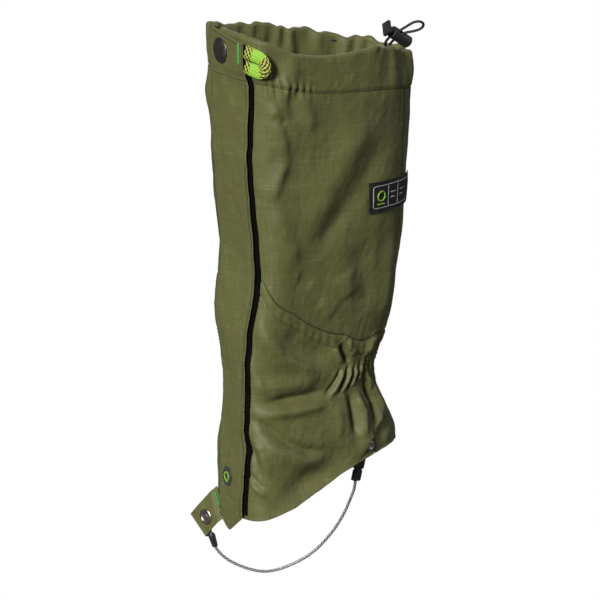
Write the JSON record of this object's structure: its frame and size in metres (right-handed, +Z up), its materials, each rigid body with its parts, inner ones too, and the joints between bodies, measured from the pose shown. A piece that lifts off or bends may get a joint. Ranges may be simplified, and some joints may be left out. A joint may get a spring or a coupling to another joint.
{
  "type": "hiking gaiter",
  "caption": "Olive fabric gaiter for the lower leg, opening at the front under a hook-and-loop flap, with a calf drawcord and a steel instep cable.",
  "frame": {"origin": "on the leg's axis, level with the lowest point of the body's hem at the instep", "axes": "+Z up along the leg, -Y towards the front of the shin, +X towards the gaiter's outer side"},
  "size_m": [0.1093, 0.1842, 0.4878],
  "materials": {
    "body_fabric": "olive coated ripstop weave",
    "lining_fabric": "black plain weave",
    "tape": "black hook-and-loop tape",
    "elastic": "black ribbed elastic",
    "black_cord": "black braided cord",
    "bright_webbing": "bright green woven webbing",
    "bright_thread": "green bar-tack stitching",
    "black_label": "woven label",
    "badge_plate": "moulded badge",
    "black_plastic": "moulded",
    "gunmetal": "dark antiqued plating",
    "cable_steel": "stranded, under clear coating",
    "spring_steel": "bright wire"
  },
  "bodies": {
    "body": {"upper_outer_panel": "body_fabric", "upper_inner_panel": "body_fabric", "lower_outer_panel": "body_fabric", "lower_inner_panel": "body_fabric", "lining": "lining_fabric", "hem_facing": "body_fabric", "ankle_elastic": "elastic", "top_casing": "body_fabric", "drawcord": "black_cord", "cord_lock_barrel": "black_plastic", "cord_lock_spring": "spring_steel", "loop_tape": "tape", "top_snap_stud": "gunmetal", "top_snap_post": "gunmetal", "woven_patch": "black_label", "tab_front_leaf": "body_fabric", "tab_snap_cap": "gunmetal", "tab_snap_socket": "gunmetal", "tab_bartack": "bright_thread", "strap_rivet": "gunmetal", "rivet_washer": "gunmetal"},
    "flap": {"front_flap": "body_fabric", "hook_tape": "tape", "flap_top_tab": "body_fabric", "top_snap_cap": "gunmetal", "top_snap_socket": "gunmetal", "flap_badge": "badge_plate", "pull_loop_bartack": "bright_thread"},
    "loop": {"pull_loop": "bright_webbing"},
    "plunger": {"cord_lock_plunger": "black_plastic"},
    "tab_leaf": {"tab_rear_leaf": "body_fabric", "tab_snap_stud": "gunmetal", "tab_snap_post": "gunmetal"},
    "strap": {"instep_cable": "cable_steel", "cable_ball": "cable_steel", "cable_ferrule": "black_plastic", "cable_sleeve": "black_plastic"}
  },
  "joints": [
    {"name": "flap_swing", "type": "hinge", "parent": "body", "child": "flap", "pos_m": [-0.03095, -0.07976, 0.425], "axis": [0.0163, 0.0092, -0.9998], "range_deg": [0, 50]},
    {"name": "pull_loop_swing", "type": "hinge", "parent": "flap", "child": "loop", "pos_m": [0.0342, -0.0883, 0.409], "axis": [0, 0, -1], "range_deg": [0, 95]},
    {"name": "lock_press", "type": "slide", "parent": "body", "child": "plunger", "axis": [-0.0879, 0.8234, -0.5606], "range_m": [0, 0.0035], "stiffness_N_per_m": 200},
    {"name": "tab_open", "type": "hinge", "parent": "body", "child": "tab_leaf", "pos_m": [-0.04221, -0.08075, -0.0154], "axis": [-0.6896, -0.2169, 0.6909], "range_deg": [0, 100]},
    {"name": "strap_swing", "type": "hinge", "parent": "body", "child": "strap", "pos_m": [-0.03305, -0.08102, -0.0172], "axis": [0.4558, 0.7446, 0.4876], "range_deg": [-20, 2]}
  ]
}
